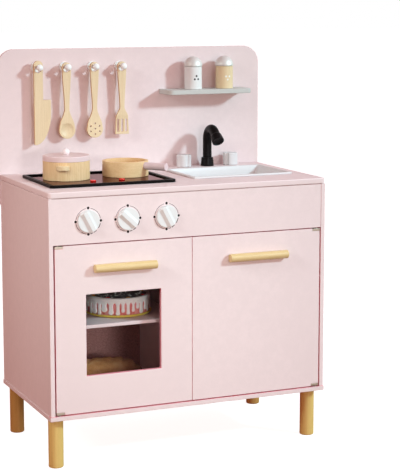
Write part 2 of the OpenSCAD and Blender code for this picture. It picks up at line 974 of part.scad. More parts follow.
side_panel(-1);  // side_panel_left
side_panel(1);  // side_panel_right
bottom_panel();
worktop();
back_panel();
centre_divider();
oven_shelf();
control_panel();
backboard();
leg(-1, 0);  // leg_front_left
leg(1, 0);  // leg_front_right
leg(-1, 1);  // leg_rear_left
leg(1, 1);  // leg_rear_right
leg_bolts();
carcass_screws();
backboard_screws();
wall_shelf();
hook_pegs();
hob_tray();
hob_glass();
hob_indicator_studs();
sink_basin();
faucet_base();
faucet_nut();
faucet_spout();
tap_knob(-1, 100);  // tap_knob_left
tap_knob(1, 35);  // tap_knob_right
knob_spindles();
control_knob(0);  // control_knob_1
control_knob(1);  // control_knob_2
control_knob(2);  // control_knob_3
hinge_bushes();
magnet_catches();
door_panel(-1);  // door_panel_left
oven_window();
door_handle(-1);  // door_handle_left
door_screws(-1);  // door_screws_left
hinge_plates(-1);  // hinge_plates_left
strike_plate(-1);  // strike_plate_left
door_panel(1);  // door_panel_right
door_handle(1);  // door_handle_right
door_screws(1);  // door_screws_right
hinge_plates(1);  // hinge_plates_right
strike_plate(1);  // strike_plate_right
pot_body();
pot_lugs();
pot_lid();
pot_lid_knob();
pan_body();
pan_handle();
toy_knife();
toy_spoon();
toy_skimmer();
toy_turner();
shaker_body(0, off_white);  // shaker_left_body
shaker_cap(0);  // shaker_left_cap
shaker_body(1, pale_wood);  // shaker_right_body
shaker_cap(1);  // shaker_right_cap
toy_cake();
toy_loaf();
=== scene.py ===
"""Toy kitchen: looks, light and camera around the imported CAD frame."""
import json
import math
import random

import bmesh
import bpy
from mathutils import Matrix, Vector, noise


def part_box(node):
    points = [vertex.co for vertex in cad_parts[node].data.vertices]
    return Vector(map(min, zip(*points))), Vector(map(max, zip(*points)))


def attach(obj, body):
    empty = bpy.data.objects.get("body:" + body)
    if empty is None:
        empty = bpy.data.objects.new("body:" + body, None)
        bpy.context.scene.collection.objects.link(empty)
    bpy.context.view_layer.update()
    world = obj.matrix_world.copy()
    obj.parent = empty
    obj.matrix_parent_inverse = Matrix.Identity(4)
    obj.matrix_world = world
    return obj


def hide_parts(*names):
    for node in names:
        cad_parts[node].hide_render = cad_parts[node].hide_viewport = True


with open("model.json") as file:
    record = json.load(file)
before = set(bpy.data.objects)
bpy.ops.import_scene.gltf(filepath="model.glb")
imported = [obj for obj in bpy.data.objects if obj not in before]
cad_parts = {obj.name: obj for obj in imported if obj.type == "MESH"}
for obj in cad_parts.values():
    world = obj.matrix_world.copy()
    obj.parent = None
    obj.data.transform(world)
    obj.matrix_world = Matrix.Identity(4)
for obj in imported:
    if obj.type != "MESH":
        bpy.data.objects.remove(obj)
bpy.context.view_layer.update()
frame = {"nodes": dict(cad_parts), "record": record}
NODES = frame["nodes"]
SLOTS = {s["node"]: s["material_slot"] for s in frame["record"]["subparts"]}
BODY_OF = {n: b for b, ns in frame["record"]["behaviour"]["bodies"].items() for n in ns}
MM = 0.001
WELD = 0.012 * MM          # points of a CAD mesh closer than this are one point
ON_FACE = 1 * MM           # a point this close to a face of a board's box belongs to it


# ------------------------------------------------------------------ materials
def rgba(value):
    """A colour, or one number for a grey, as four channels."""
    return (*(value if isinstance(value, tuple) else (value,) * 3), 1)


class Finish:
    """A small builder for one procedural material around a Principled shader."""

    def __init__(self, name, **sockets):
        self.material = bpy.data.materials.new(name)
        self.material.use_nodes = True
        self.tree = self.material.node_tree
        self.shader = self.tree.nodes["Principled BSDF"]
        for key, value in sockets.items():
            self.shader.inputs[key.replace("_", " ")].default_value = value
        self.place = self.tree.nodes.new("ShaderNodeTexCoord").outputs["Object"]

    def node(self, kind, settings=None, **inputs):
        made = self.tree.nodes.new("ShaderNode" + kind)
        for key, value in (settings or {}).items():
            setattr(made, key, value)
        for key, value in inputs.items():
            self.feed(made.inputs[key.replace("_", " ")], value)
        return made

    def feed(self, socket, value):
        if isinstance(value, bpy.types.NodeSocket):
            self.tree.links.new(value, socket)
        else:
            socket.default_value = value

    def stretched(self, scale, turn=(0, 0, 0), shift=(0, 0, 0)):
        made = self.node("Mapping", Vector=self.place, Scale=scale, Rotation=turn, Location=shift)
        return made.outputs["Vector"]

    def noise(self, scale, detail=3.0, rough=0.5, vector=None):
        made = self.node("TexNoise", Vector=vector or self.place, Scale=scale, Detail=detail,
                         Roughness=rough)
        return made.outputs["Fac"]

    def ramp(self, fac, *stops):
        """A colour ramp through (position, colour or grey) stops: both ends first, then others."""
        made = self.node("ValToRGB", Fac=fac)
        ramp = made.color_ramp
        for i, (pos, value) in enumerate(stops):
            dot = ramp.elements[i] if i < 2 else ramp.elements.new(pos)
            dot.position = pos
            dot.color = rgba(value)
        return made.outputs["Color"]

    def mix(self, fac, a, b):
        made = self.node("Mix", {"data_type": "RGBA"})
        self.feed(made.inputs["Factor"], fac)
        for socket, value in ((made.inputs[6], a), (made.inputs[7], b)):
            self.feed(socket, value if isinstance(value, bpy.types.NodeSocket) else rgba(value))
        return made.outputs[2]

    def math(self, operation, a, b):
        made = self.node("Math", {"operation": operation})
        self.feed(made.inputs[0], a)
        self.feed(made.inputs[1], b)
        return made.outputs[0]

    def span(self, fac, low, high):
        """Spreads a 0..1 value between low and high."""
        made = self.node("MapRange", Value=fac, To_Min=low, To_Max=high)
        return made.outputs["Result"]

    def edges(self, low=0.515, high=0.56):
        """White where the mesh is convex: the mask for painted highlights, and rubbed wear, along
        edges.
        """
        point = self.node("NewGeometry").outputs["Pointiness"]
        return self.ramp(point, (low, 0.0), (high, 1.0))

    def relief(self, height, depth, strength=1.0, below=None):
        made = self.node("Bump", Height=height, Distance=depth, Strength=strength)
        if below is not None:
            self.feed(made.inputs["Normal"], below)
        return made.outputs["Normal"]

    def done(self, colour=None, rough=None, normal=None):
        for name, value in (("Base Color", colour), ("Roughness", rough), ("Normal", normal)):
            if value is not None:
                self.feed(self.shader.inputs[name], value)
        return self.material


def scaled(colour, k):
    return tuple(min(1.0, c * k) for c in colour)


CLOUD_SHADE = 0.992        # how dark the cloudy parts of the paint are
FLECK_SHADE = 0.82
EDGE_RUB_AND_HIGHLIGHT = 1.16


def painted(name, colour, rough=0.42, peel=0.5, wear_and_highlight=0.25, front=None):
    """Satin paint on board or turned wood: orange peel, cloudy tone, scuffs, edges lightened by
    rubbed wear and painted highlight.

    Where front is given, it is a painted gap shade: the colour of everything that is no deeper than
    the doors.
    """
    f = Finish(name, Specular_IOR_Level=0.3)
    cloud = f.noise(5.0, 4.0, 0.55)
    tone = f.mix(f.ramp(cloud, (0.30, 0.0), (0.72, 1.0)), scaled(colour, CLOUD_SHADE), colour)
    if front:
        # painted gap shade: faces no deeper than the doors take the front colour
        depth = f.node("SeparateXYZ", Vector=f.place).outputs["Y"]
        door_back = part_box("door_panel_left")[1].y
        gap_shade_fade = f.node("MapRange", Value=depth, From_Min=door_back + 1 * MM,
                      From_Max=door_back + 3 * MM)
        tone = f.mix(gap_shade_fade.outputs["Result"], front, tone)
    fleck = f.ramp(f.noise(420.0, 2.0, 0.6), (0.66, 0.0), (0.74, 1.0))
    tone = f.mix(f.math("MULTIPLY", fleck, 0.06), tone, scaled(colour, FLECK_SHADE))
    # edges lightened in patches: rubbed wear together with painted highlight
    patchy = f.ramp(f.noise(60.0, 4.0, 0.7), (0.42, 0.1), (0.62, 1.0))
    rub = f.math("MULTIPLY", f.edges(), patchy)
    tone = f.mix(f.math("MULTIPLY", rub, wear_and_highlight), tone, scaled(colour, EDGE_RUB_AND_HIGHLIGHT))
    scuff = f.noise(1.0, 4.0, 0.6, f.stretched((34, 34, 9), (0.5, 0.3, 0.2)))
    gloss = f.math("ADD", f.span(cloud, -0.03, 0.04),
                   f.ramp(scuff, (0.5, rough), (0.75, rough + 0.13)))
    orange = f.noise(620.0, 2.0, 0.5)
    normal = f.relief(orange, 0.00008, peel)
    normal = f.relief(f.noise(70.0, 3.0, 0.5), 0.00015, 0.2, normal)
    return f.done(tone, gloss, normal)


def timber(name, light, dark, axis, ring=230.0, contrast=0.75, rough=0.42, fibre=1.0, seed=0.0):
    """Clear-coated beech with its grain along one axis: growth bands, fibres and short pores."""
    f = Finish(name)
    along = {"x": 0, "y": 1, "z": 2}[axis]

    def stretch(across, lengthways):
        scale = [across] * 3
        scale[along] = lengthways
        return f.stretched(tuple(scale), shift=(seed, seed * 0.7, seed * 1.3))

    bend = f.noise(1.0, 2.0, 0.5, stretch(9.0, 2.2))
    field = f.node("VectorMath", {"operation": "ADD"})
    f.feed(field.inputs[0], stretch(ring, ring * 0.035))
    lift = f.node("VectorMath", {"operation": "SCALE"}, Scale=5.0)
    f.feed(lift.inputs[0], f.node("CombineXYZ", X=bend, Y=bend, Z=bend).outputs[0])
    f.feed(field.inputs[1], lift.outputs[0])
    bands = f.noise(1.0, 3.0, 0.62, field.outputs[0])
    fibres = f.noise(1.0, 3.0, 0.6, stretch(1250.0, 26.0))
    pores = f.ramp(f.noise(1.0, 1.0, 0.4, stretch(1900.0, 150.0)), (0.60, 0.0), (0.72, 1.0))
    wide = f.noise(1.0, 2.0, 0.5, stretch(28.0, 3.0))
    middle = tuple((a + b) / 2 for a, b in zip(light, dark))
    tone = f.ramp(bands, (0.30, dark), (0.70, light), (0.47, middle))
    tone = f.mix(contrast, light, tone)
    tone = f.mix(f.span(wide, 0.0, 0.45 * contrast), tone, scaled(dark, 1.06))
    tone = f.mix(f.ramp(fibres, (0.35, 0.34 * fibre), (0.62, 0.0)), tone, scaled(dark, 0.88))
    tone = f.mix(f.math("MULTIPLY", pores, 0.30 * fibre), tone, scaled(dark, 0.62))
    # painted highlight: lighter along convex edges
    tone = f.mix(f.math("MULTIPLY", f.edges(), 0.22), tone, scaled(light, 1.12))
    gloss = f.span(fibres, rough - 0.05, rough + 0.09)
    normal = f.relief(fibres, 0.00007, 0.55)
    normal = f.relief(f.math("SUBTRACT", 1.0, pores), 0.00010, 0.35, normal)
    return f.done(tone, gloss, normal)


def moulded(name, colour, rough=0.35, grain=0.35, **sockets):
    """Injection-moulded plastic: fine texture, faint flow marks, hairline scratches."""
    f = Finish(name, **sockets)
    flow = f.noise(1.0, 3.0, 0.5, f.stretched((40, 40, 90)))
    tone = f.mix(f.span(flow, 0.0, 0.5), colour, scaled(colour, 0.93))
    dust = f.ramp(f.noise(260.0, 3.0, 0.65), (0.62, 0.0), (0.76, 1.0))
    tone = f.mix(f.math("MULTIPLY", dust, 0.06), tone, (0.62, 0.60, 0.57))
    # painted highlight: lighter along convex edges
    tone = f.mix(f.math("MULTIPLY", f.edges(0.52, 0.60), 0.12), tone, scaled(colour, 1.25))
    hair = f.ramp(f.noise(1.0, 2.0, 0.7, f.stretched((900, 60, 160), (0.3, 0.8, 0.4))),
                  (0.60, 0.0), (0.68, 1.0))
    gloss = f.math("ADD", f.span(flow, rough - 0.03, rough + 0.05),
                   f.math("MULTIPLY", hair, 0.05))
    normal = f.relief(f.noise(1400.0, 2.0, 0.5), 0.00004, grain)
    return f.done(tone, gloss, normal)


def metal(name, colour, rough=0.30):
    """Plated steel with brushing, cloudy tarnish and painted highlights along its edges."""
    f = Finish(name, Metallic=1.0)
    streak = f.noise(1.0, 3.0, 0.6, f.stretched((900, 900, 40)))
    cloud = f.noise(160.0, 4.0, 0.6)
    tone = f.mix(f.span(cloud, 0.0, 0.7), colour, scaled(colour, 0.72))
    tone = f.mix(f.math("MULTIPLY", f.edges(), 0.5), tone, scaled(colour, 1.35))
    gloss = f.math("ADD", f.span(streak, rough - 0.08, rough + 0.10), f.span(cloud, -0.03, 0.05))
    return f.done(tone, gloss, f.relief(streak, 0.00005, 0.4))


PINK = (0.790, 0.650, 0.650)
mats = {
    "paint": painted("pink_board_paint", PINK),
    # painted gap shade: deep rose on the faces that show in the gaps round the doors and panel
    "paint_gap_shade": painted("pink_gap_shade_paint", PINK, front=(0.84, 0.30, 0.36)),
    "paint_knob": painted("pale_pink_paint", (0.86, 0.77, 0.77), 0.36, 0.3),
    "paint_turned": painted("pink_turned_paint", (0.765, 0.60, 0.60), 0.36, 0.3),
    "paint_bar": painted("pink_bar_paint", (0.67, 0.53, 0.54), 0.38, 0.3),
    "grey": painted("grey_shelf_paint", (0.545, 0.55, 0.525), 0.45),
    "leg": timber("leg_beech", (0.80, 0.585, 0.205), (0.59, 0.365, 0.10), "z", 190, 0.7),
    # painted shade: the rear legs take a darker copy of the leg beech
    "leg_rear": timber("leg_beech_painted_shade", (0.56, 0.32, 0.095), (0.40, 0.195, 0.045), "z", 190, 0.7),
    "handle": timber("handle_beech", (0.75, 0.575, 0.31), (0.63, 0.43, 0.175), "x", 210, 0.6),
    "pot": timber("pot_beech", (0.88, 0.66, 0.395), (0.62, 0.37, 0.15), "z", 400, 0.5,
                  0.48, 0.9),
    "lug": timber("lug_beech", (0.84, 0.665, 0.42), (0.70, 0.50, 0.26), "x", 210, 0.6,
                  0.48, 1.0, 0.3),
    "pan": timber("pan_beech", (0.84, 0.60, 0.34), (0.68, 0.43, 0.20), "x", 200, 0.6, 0.48, 0.8),
    # painted shade: a darker copy of the utensil beech for the tools' side faces and hole walls
    "utensil_side_shade": timber("utensil_edge_beech", (0.66, 0.40, 0.20), (0.52, 0.26, 0.11), "z",
                           200, 0.6),
    "utensil": timber("utensil_beech", (0.81, 0.655, 0.435), (0.70, 0.52, 0.30), "z", 200, 0.6),
    "shaker_wood": timber("shaker_beech", (0.81, 0.66, 0.425), (0.71, 0.545, 0.31), "z", 220, 0.5),
    "white": moulded("white_plastic", (0.69, 0.67, 0.675), 0.36),
    "white_peg": moulded("white_peg_plastic", (0.90, 0.925, 0.915), 0.33),
    "white_sink": moulded("white_tray_plastic", (0.69, 0.67, 0.675), 0.30, 0.2),
    "white_soft": moulded("white_knob_plastic", (0.765, 0.765, 0.765), 0.42, 0.5),
    "white_paint": painted("white_turned_paint", (0.78, 0.785, 0.775), 0.38, 0.3, 0.2),
    "black": moulded("black_satin_plastic", (0.0036, 0.0030, 0.0031), 0.33, 0.4,
                     Specular_IOR_Level=0.13),
    "black_gloss": moulded("black_tray_plastic", (0.0035, 0.0028, 0.0028), 0.36, 0.3,
                           Specular_IOR_Level=0.08),
    "red": moulded("red_stud_plastic", (0.80, 0.020, 0.012), 0.22, 0.2),
    "housing": moulded("catch_housing", (0.62, 0.61, 0.58), 0.45, 0.5),
    "dark_print": painted("dial_print", (0.012, 0.007, 0.007), 0.6, 0.2, 0.0),
    "white_print": painted("shaker_print", (0.88, 0.86, 0.80), 0.5, 0.2, 0.0),
    "steel": metal("plated_steel", (0.56, 0.54, 0.50)),
    "plate": metal("hinge_plate_steel", (0.52, 0.46, 0.39), 0.45),
    "cake_dish": moulded("cake_dish_yellow", (0.76, 0.60, 0.10), 0.35, 0.4),
    "cake_glaze": moulded("cake_glaze_dark", (0.022, 0.014, 0.013), 0.30, 0.5),
    "sweet_orange": moulded("sweet_orange", (0.80, 0.36, 0.03), 0.30, 0.3),
    "sweet_red": moulded("sweet_red", (0.66, 0.03, 0.03), 0.30, 0.3),
}


def sponge_finish():
    """Coral sponge in upright streaks from pink to red, with fine crumbs."""
    f = Finish("cake_sponge_coral")
    streak = f.noise(1.0, 3.0, 0.6, f.stretched((120, 120, 30)))
    tone = f.ramp(streak, (0.36, (0.62, 0.12, 0.11)), (0.62, (0.80, 0.36, 0.34)),
                  (0.5, (0.76, 0.24, 0.22)))
    crumb = f.noise(900.0, 3.0, 0.6)
    tone = f.mix(f.ramp(crumb, (0.56, 0.0), (0.72, 0.35)), tone, (0.85, 0.50, 0.46))
    return f.done(tone, f.span(crumb, 0.42, 0.6), f.relief(crumb, 0.0003, 0.5))


def icing_finish():
    """Cream icing: soft, slightly translucent and rippled."""
    f = Finish("cake_icing_cream", Subsurface_Weight=0.1, Subsurface_Radius=(0.002, 0.001, 0.0008))
    cloud = f.noise(75.0, 4.0, 0.55)
    tone = f.mix(cloud, (0.92, 0.90, 0.865), (0.96, 0.95, 0.93))
    ripple = f.noise(180.0, 2.0, 0.4)
    return f.done(tone, f.span(cloud, 0.26, 0.40), f.relief(ripple, 0.0003, 0.35))


def crust_finish():
    """Baked crust: pale in the cuts, golden and pitted, with painted shade darkening it towards the
    right.
    """
    f = Finish("crusty_loaf_crust")
    bake = f.noise(26.0, 5.0, 0.6)
    tone = f.ramp(bake, (0.32, (0.58, 0.26, 0.08)), (0.68, (0.95, 0.66, 0.32)),
                  (0.5, (0.84, 0.48, 0.18)))
    fleck = f.ramp(f.noise(520.0, 4.0, 0.7), (0.55, 0.0), (0.72, 1.0))
    tone = f.mix(f.math("MULTIPLY", fleck, 0.35), tone, (0.80, 0.58, 0.33))
    cuts = f.ramp(f.node("NewGeometry").outputs["Pointiness"], (0.42, 1.0), (0.49, 0.0))
    tone = f.mix(f.math("MULTIPLY", cuts, 0.75), tone, (0.84, 0.64, 0.38))
    # painted shade: the crust darkens towards the loaf's right end
    low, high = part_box("toy_loaf")
    along = f.node("SeparateXYZ", Vector=f.place).outputs["X"]
    painted_shade_right = f.node("MapRange", Value=along, From_Min=low.x + 0.35 * (high.x - low.x),
                   From_Max=low.x + 0.80 * (high.x - low.x), To_Min=0.0, To_Max=0.85)
    tone = f.mix(painted_shade_right.outputs["Result"], tone, (0.17, 0.055, 0.022))
    pits = f.noise(320.0, 5.0, 0.7)
    normal = f.relief(pits, 0.0010, 0.6)
    return f.done(tone, f.span(pits, 0.45, 0.75), f.relief(bake, 0.002, 0.4, normal))


mats["cake_sponge"] = sponge_finish()
mats["cake_icing"] = icing_finish()
mats["crust"] = crust_finish()


def hob_glass_finish():
    """Dark polished glass with a rosy reflection, smears and specks of dust."""
    f = Finish("hob_glass", Metallic=1.0, Specular_Tint=(0.72, 0.48, 0.48, 1.0))
    smear = f.noise(1.0, 4.0, 0.6, f.stretched((14, 30, 20), (0, 0, 0.6)))
    speck = f.ramp(f.noise(500.0, 2.0, 0.5), (0.70, 0.0), (0.76, 1.0))
    tone = f.mix(f.math("MULTIPLY", speck, 0.25), (0.018, 0.006, 0.006), (0.08, 0.055, 0.05))
    return f.done(tone, f.ramp(smear, (0.45, 0.045), (0.72, 0.12)),
                  f.relief(f.noise(25.0, 2.0, 0.5), 0.0001, 0.12))


def acrylic_finish():
    """Clear window sheet: nearly invisible, with a smeared sheen."""
    f = Finish("window_acrylic", IOR=1.45, Alpha=0.03)
    smear = f.noise(1.0, 4.0, 0.6, f.stretched((18, 18, 30), (0, 0.5, 0)))
    tone = f.mix(f.span(smear, 0.0, 0.6), (0.10, 0.075, 0.070), (0.055, 0.045, 0.045))
    return f.done(tone, f.ramp(smear, (0.45, 0.05), (0.75, 0.16)),
                  f.relief(f.noise(40.0, 2.0, 0.5), 0.0001, 0.08))


def hardboard_finish():
    """Felted brown-rose hardboard for the thin back panel."""
    f = Finish("hardboard")
    felt = f.noise(1.0, 6.0, 0.72, f.stretched((240, 240, 300), (0, 0.4, 0)))
    blot = f.noise(22.0, 5.0, 0.65)
    tone = f.mix(f.ramp(felt, (0.34, 0.0), (0.66, 1.0)), (0.30, 0.115, 0.10), (0.62, 0.30, 0.27))
    tone = f.mix(f.span(blot, 0.0, 0.7), tone, (0.36, 0.155, 0.14))
    return f.done(tone, f.span(felt, 0.62, 0.82), f.relief(felt, 0.0005, 0.6))


def silver_finish():
    """Satin silver lacquer with fine flakes."""
    f = Finish("silver_cap", Metallic=0.4)
    flake = f.noise(1500.0, 2.0, 0.6)
    cloud = f.noise(60.0, 3.0, 0.5)
    tone = f.mix(f.span(flake, 0.0, 0.6), (0.70, 0.71, 0.68), (0.83, 0.84, 0.81))
    return f.done(tone, f.span(cloud, 0.44, 0.54), f.relief(flake, 0.00003, 0.35))


mats["hob_glass"] = hob_glass_finish()
mats["acrylic"] = acrylic_finish()
mats["hardboard"] = hardboard_finish()
mats["silver"] = silver_finish()


# ------------------------------------------------------------------ mesh helpers
def own_piece(name, mesh, material, body, slot=None, replaces=(), smooth=True):
    """Makes a piece that rides on a body, and stands for CAD nodes where some are named."""
    for face in mesh.polygons:
        face.use_smooth = smooth
    piece = bpy.data.objects.new(name, mesh)
    bpy.context.scene.collection.objects.link(piece)
    mesh.materials.clear()
    mesh.materials.append(material)
    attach(piece, body)
    if replaces:
        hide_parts(*replaces)
    return piece


def from_bmesh(name, bm):
    mesh = bpy.data.meshes.new(name)
    bmesh.ops.recalc_face_normals(bm, faces=bm.faces)
    bm.to_mesh(mesh)
    bm.free()
    return mesh


def connected(items, near):
    """The groups of items that hang together, where near lists an item's neighbours."""
    left, groups = set(items), []
    while left:
        queue, group = [left.pop()], []
        while queue:
            item = queue.pop()
            group.append(item)
            found = left.intersection(near(item))
            left -= found
            queue += found
        groups.append(group)
    return groups


def bmesh_piece(name, bm, *rest, **more):
    """Makes a piece from a bmesh; the rest is as for own_piece."""
    own_piece(name, from_bmesh(name, bm), *rest, **more)


def small_chains(edges, limit):
    """The edges of the sharp chains that span less than limit, such as drilled holes."""
    links = {}
    for edge in edges:
        for vert in edge.verts:
            links.setdefault(vert, []).append(edge)
    small = set()
    for chain in connected(edges, lambda e: links[e.verts[0]] + links[e.verts[1]]):
        spots = [v.co for e in chain for v in e.verts]
        span = max(max(p[k] for p in spots) - min(p[k] for p in spots) for k in range(3))
        if span < limit:
            small.update(chain)
    return small


SHARP_ANGLE = math.radians(34.0)
FLAT_ANGLE = math.radians(0.4)
BEVEL_SEGMENTS = 3


def rounded(node, material, width, limit=0.022, reshape=None, inner=None, inside="paint_gap_shade"):
    """A CAD node's own shape with its outer edges rounded, as a piece that stands for it.

    Sharp chains that span less than limit stay sharp. reshape moves each point, and the faces
    whose normal passes the inner test carry the material named inside, which paints shade on them.
    """
    bm = bmesh.new()
    bm.from_mesh(NODES[node].data)
    for vert in bm.verts:
        vert.co = reshape(vert.co) if reshape else vert.co
    bmesh.ops.remove_doubles(bm, verts=bm.verts, dist=WELD)
    bmesh.ops.dissolve_limit(bm, angle_limit=FLAT_ANGLE, verts=bm.verts, edges=bm.edges,
                             use_dissolve_boundaries=False)
    bm.normal_update()
    painted_shade_faces = [i for i, face in enumerate(bm.faces) if inner and inner(face.normal)]
    weight = bm.edges.layers.float.new("bevel_weight_edge")
    sharp = [e for e in bm.edges if e.is_manifold and e.calc_face_angle(0) > SHARP_ANGLE]
    skip = small_chains(sharp, limit)
    for edge in sharp:
        edge[weight] = 0.0 if edge in skip else 1.0
        edge.smooth = edge not in skip
    mesh = bpy.data.meshes.new(node + "_rounded")
    bm.to_mesh(mesh)
    bm.free()
    piece = own_piece(node + "_finished", mesh, material, BODY_OF[node], SLOTS[node], [node])
    if inner:
        mesh.materials.append(mats[inside])
        for i in painted_shade_faces:
            mesh.polygons[i].material_index = 1
    bevel = piece.modifiers.new("rounded_edges", "BEVEL")
    bevel.limit_method = "WEIGHT"
    bevel.width = width
    bevel.segments = BEVEL_SEGMENTS
    bevel.use_clamp_overlap = False
    bevel.harden_normals = True
    normals = piece.modifiers.new("even_shading", "WEIGHTED_NORMAL")
    normals.keep_sharp = True
    normals.mode = "FACE_AREA_WITH_ANGLE"


def finish_node(node, material):
    """Gives a carried-over CAD node a better material."""
    for held in NODES[node].material_slots:
        held.material = material


def circle(r, steps):
    """Points round the origin, anticlockwise from the right."""
    turns = [2 * math.pi * i / steps for i in range(steps)]
    return [(r * math.cos(t), r * math.sin(t)) for t in turns]


def join_rings(bm, rings):
    """Adds the faces between each ring of points and the next; all are equally long."""
    for a, b in zip(rings, rings[1:]):
        for i in range(len(a)):
            j = (i + 1) % len(a)
            bm.faces.new((a[i], a[j], b[j], b[i]))


def lathe(profile, centre, steps=96):
    """A closed mesh turned round a vertical line, from (radius, z) pairs."""
    bm = bmesh.new()
    rings = []
    for r, z in profile:
        if r < 1e-7:
            rings.append([bm.verts.new((centre[0], centre[1], z))])
            continue
        rings.append([bm.verts.new((centre[0] + x, centre[1] + y, z)) for x, y in circle(r, steps)])
    for a, b in zip(rings, rings[1:]):
        for i in range(steps):
            j = (i + 1) % steps
            quad = [a[i % len(a)], a[j % len(a)], b[j % len(b)], b[i % len(b)]]
            bm.faces.new(list(dict.fromkeys(quad)))
    return bm


def bowed(r, z, radius, start, end):
    """(radius, z) points along an arc, for a rounded corner of a turned profile."""
    count = 6
    turns = [math.radians(start + (end - start) * i / count) for i in range(count + 1)]
    return [(r + radius * math.cos(t), z + radius * math.sin(t)) for t in turns]


def middle(node):
    low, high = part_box(node)
    return (low + high) / 2


def rounded_loop(w, d, r):
    """The points of a rounded rectangle round the origin, anticlockwise."""
    per_corner = 8
    spots = []
    for k, (sx, sy) in enumerate(((1, 1), (-1, 1), (-1, -1), (1, -1))):
        for i in range(per_corner + 1):
            t = math.radians(90 * k + 90 * i / per_corner)
            spots.append((sx * (w / 2 - r) + r * math.cos(t), sy * (d / 2 - r) + r * math.sin(t)))
    return spots


def lofted(loops):
    """A mesh, closed at both ends, through loops that all have the same number of points."""
    bm = bmesh.new()
    rings = [[bm.verts.new(p) for p in loop] for loop in loops]
    join_rings(bm, rings)
    bm.faces.new(list(reversed(rings[0])))
    bm.faces.new(rings[-1])
    return bm


def swept(path):
    """A round bar along (point, direction, radius) stations in a plane of constant X."""
    steps = 48
    loops = []
    for spot, along, radius in path:
        side = Vector((1, 0, 0))
        up = Vector(along).normalized().cross(side)
        loops.append([Vector(spot) + radius * (math.cos(2 * math.pi * i / steps) * side
                                               + math.sin(2 * math.pi * i / steps) * up)
                      for i in range(steps)])
    return lofted(loops)


def plate(bm, outline, to_world, low, high):
    """Adds a flat printed shape: an outline in the plane, between two heights over it."""
    bottom = [bm.verts.new(to_world(u, v, low)) for u, v in outline]
    top = [bm.verts.new(to_world(u, v, high)) for u, v in outline]
    join_rings(bm, [bottom, top])
    bm.faces.new(list(reversed(bottom)))
    bm.faces.new(top)


def disc(u, v, r, steps=24):
    return [(u + x, v + y) for x, y in circle(r, steps)]


def arc_band(radius, width, start, end):
    """The outline of a thin band along an arc, between two angles in degrees."""
    steps = 14
    turns = [math.radians(start + (end - start) * i / steps) for i in range(steps + 1)]
    outer, inner = [[(r * math.cos(t), r * math.sin(t)) for t in turns]
                    for r in (radius + width / 2, radius - width / 2)]
    return outer + inner[::-1]


# ------------------------------------------------------------------ carried-over and rounded nodes
BOARD_EDGE = 0.9 * MM
WORKTOP_EDGE = 2.2 * MM
JOINT_STEP = 0.03 * MM     # how far the panel's skin stays inside the side panel's outer face
PANEL_PROUD = 0.06 * MM
PANEL_GAP_RIGHT = 0.4 * MM
PANEL_GAP_TOP = 0.5 * MM
DOOR_GROWTH = 0.6 * MM     # how far a door's free edges grow into the gaps of the CAD model
KNOB_BASE, KNOB_TAPER = 0.975, 0.035

rounded("worktop", mats["paint"], WORKTOP_EDGE)
panel_low, panel_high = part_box("control_panel")


def panel_fit(p):
    """Paint bridges the joint to the left side; thin shadow lines stay at the right and on top."""
    x, y, z = p
    if x < panel_low.x + ON_FACE:
        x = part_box("side_panel_left")[0].x + JOINT_STEP
    elif x > panel_high.x - ON_FACE:
        x -= PANEL_GAP_RIGHT
    if y < panel_low.y + ON_FACE:
        y -= PANEL_PROUD
    if z > panel_high.z - ON_FACE:
        z -= PANEL_GAP_TOP
    return Vector((x, y, z))


def door_fit(node, hinge_side):
    """Grows a door's free edges a little; the edge on its hinge side (-1 left, 1 right) stays."""
    low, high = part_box(node)
    free = high.x if hinge_side < 0 else low.x

    def fit(p):
        x, y, z = p
        if abs(x - free) < ON_FACE:
            x -= hinge_side * DOOR_GROWTH
        for edge, way in ((low.z, -1), (high.z, 1)):
            if abs(p.z - edge) < ON_FACE:
                z += way * DOOR_GROWTH
        return Vector((x, y, z))

    return fit


def knob_fit(node):
    """Tapers a control knob towards its face."""
    low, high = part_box(node)
    centre = (low + high) / 2

    def fit(p):
        k = KNOB_BASE - KNOB_TAPER * (high.y - p.y) / (high.y - low.y)
        return Vector((centre.x + k * (p.x - centre.x), p.y, centre.z + k * (p.z - centre.z)))

    return fit


# which faces of each board carry the inner paint and its painted gap shade, by the way they face
GAP_SHADE_FACES = {
    "side_panel_left": lambda n: n.x > 0.5, "side_panel_right": lambda n: n.x < -0.5,
    "bottom_panel": lambda n: n.z > 0.5,
    "door_panel_left": lambda n: abs(n.y) < 0.5, "door_panel_right": lambda n: abs(n.y) < 0.5,
}
# the panel's top and bottom faces carry the painted gap shade
rounded("control_panel", mats["paint"], BOARD_EDGE, reshape=panel_fit,
        inner=lambda n: abs(n.z) > 0.5)
RESHAPED = {"door_panel_left": door_fit("door_panel_left", -1),
            "door_panel_right": door_fit("door_panel_right", 1)}
for board, faces in GAP_SHADE_FACES.items():
    rounded(board, mats["paint"], BOARD_EDGE, inner=faces, reshape=RESHAPED.get(board))
for board in ("centre_divider", "oven_shelf", "backboard"):
    rounded(board, mats["paint"], BOARD_EDGE)
rounded("wall_shelf", mats["grey"], 1.2 * MM)
rounded("hob_tray", mats["black_gloss"], 0.9 * MM)
rounded("hob_indicator_studs", mats["red"], 0.9 * MM, 0.0)
rounded("magnet_catches", mats["housing"], 0.7 * MM, 0.0)
rounded("oven_window", mats["acrylic"], 0.3 * MM)
rounded("pot_lugs", mats["lug"], 1.5 * MM, 0.0)
